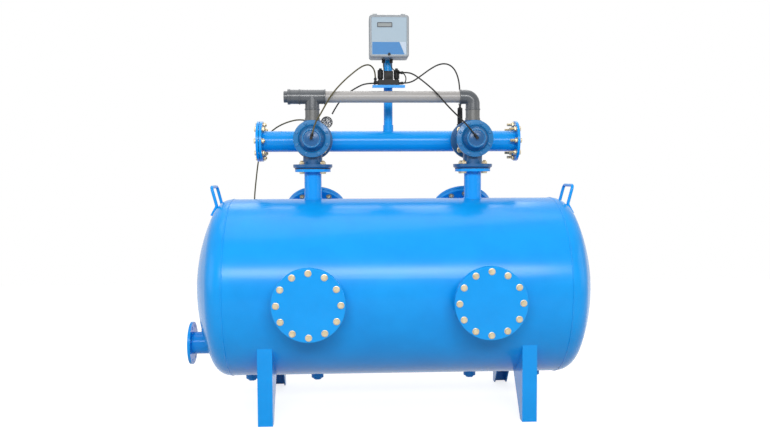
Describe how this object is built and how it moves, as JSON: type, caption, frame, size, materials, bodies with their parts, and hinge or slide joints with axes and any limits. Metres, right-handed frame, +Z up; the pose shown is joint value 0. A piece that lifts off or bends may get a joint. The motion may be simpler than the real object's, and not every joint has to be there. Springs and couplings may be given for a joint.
{
  "type": "irrigation media filter",
  "caption": "Horizontal media filter tank for irrigation water: bolted hand-holes, diaphragm valves on risers, an inlet manifold, a backwash line and a controller on a post.",
  "frame": {"origin": "on the floor, under the middle of the whole filter's box without its control tubes", "axes": "+Z up, +X along the tank towards the inlet end, -Y out of the hand-holes at the front"},
  "size_m": [2.0762, 1.1094, 2.066],
  "materials": {
    "tank_paint": "gloss powder coat",
    "inner_steel": "satin",
    "black_plastic": "moulded",
    "sand": "graded filter sand",
    "gasket_rubber": "moulded",
    "zinc_bolts": "yellow zinc plate",
    "valve_casting": "blue epoxy coat",
    "spring_steel": "bright",
    "dark_pvc": "moulded",
    "grey_pvc": "extruded",
    "case_plastic": "fine moulded grain",
    "cover_plastic": "fine moulded grain",
    "board": "solder mask",
    "brass": "turned",
    "gauge_steel": "dark rim",
    "dial_face": "matt white",
    "needle_black": "matt black",
    "gauge_glass": "clear",
    "strainer_plastic": "moulded",
    "olive_tube": "extruded",
    "black_tube": "extruded"
  },
  "bodies": {
    "filter": {"tank_shell": "tank_paint", "left_head": "tank_paint", "right_head": "tank_paint", "chamber_partition": "inner_steel", "nozzle_plate": "inner_steel", "underdrain_nozzles": "black_plastic", "inlet_diffusers": "inner_steel", "filter_media": "sand", "port_necks": "tank_paint", "flange_gaskets": "gasket_rubber", "front_port_covers": "tank_paint", "fill_port_covers": "tank_paint", "port_bolts": "zinc_bolts", "risers": "tank_paint", "valve_bolts": "zinc_bolts", "bonnet_bolts": "zinc_bolts", "inlet_manifold": "tank_paint", "end_blind_flange": "tank_paint", "manifold_end_bolts": "zinc_bolts", "backwash_tee": "dark_pvc", "backwash_pipe": "grey_pvc", "backwash_elbow": "dark_pvc", "backwash_outlet": "dark_pvc", "valve_adaptors": "grey_pvc", "outlet_pipe": "tank_paint", "legs": "tank_paint", "lifting_handles": "tank_paint", "drain_fittings": "tank_paint", "controller_post": "tank_paint", "controller_case": "case_plastic", "controller_glands": "black_plastic", "controller_board": "board", "pilot_block": "black_plastic", "solenoid_pilots": "black_plastic", "tube_fittings": "black_plastic", "gauge_stem": "brass", "gauge_case": "gauge_steel", "gauge_dial": "dial_face", "gauge_lens": "gauge_glass", "control_strainer": "strainer_plastic", "left_valve_tube": "olive_tube", "right_valve_tube": "black_tube", "supply_tube": "black_tube", "drain_tube": "black_tube", "sensing_tube": "black_tube", "left_pilot_cable": "black_tube", "right_pilot_cable": "black_tube", "left_valve_body": "valve_casting", "left_bonnet": "valve_casting", "left_diaphragm": "gasket_rubber", "left_spring": "spring_steel", "right_valve_body": "valve_casting", "right_bonnet": "valve_casting", "right_diaphragm": "gasket_rubber", "right_spring": "spring_steel"},
    "left_plunger": {"left_plunger": "inner_steel"},
    "right_plunger": {"right_plunger": "inner_steel"},
    "needle": {"gauge_needle": "needle_black"},
    "cover": {"controller_cover": "cover_plastic"},
    "latch": {"cover_latch": "black_plastic"}
  },
  "joints": [
    {"name": "left_valve_stroke", "type": "slide", "parent": "filter", "child": "left_plunger", "axis": [0, -1, 0], "range_m": [0, 0.0404], "stiffness_N_per_m": 2000, "springref_m": -0.01, "deforming": ["left_spring", "left_diaphragm"]},
    {"name": "right_valve_stroke", "type": "slide", "parent": "filter", "child": "right_plunger", "axis": [0, -1, 0], "range_m": [0, 0.0404], "stiffness_N_per_m": 2000, "springref_m": -0.01, "deforming": ["right_spring", "right_diaphragm"]},
    {"name": "gauge_needle_turn", "type": "hinge", "parent": "filter", "child": "needle", "pos_m": [-0.32428, 0.22995, 1.49261], "axis": [0, 1, 0], "range_deg": [-90, 180]},
    {"name": "cover_swing", "type": "hinge", "parent": "filter", "child": "cover", "pos_m": [0.01395, 0.1632, 2.061], "axis": [-1, 0, 0], "range_deg": [0, 105]},
    {"name": "latch_turn", "type": "hinge", "parent": "cover", "child": "latch", "pos_m": [0.01395, 0.14, 1.848], "axis": [0, 1, 0], "range_deg": [0, 90]}
  ]
}
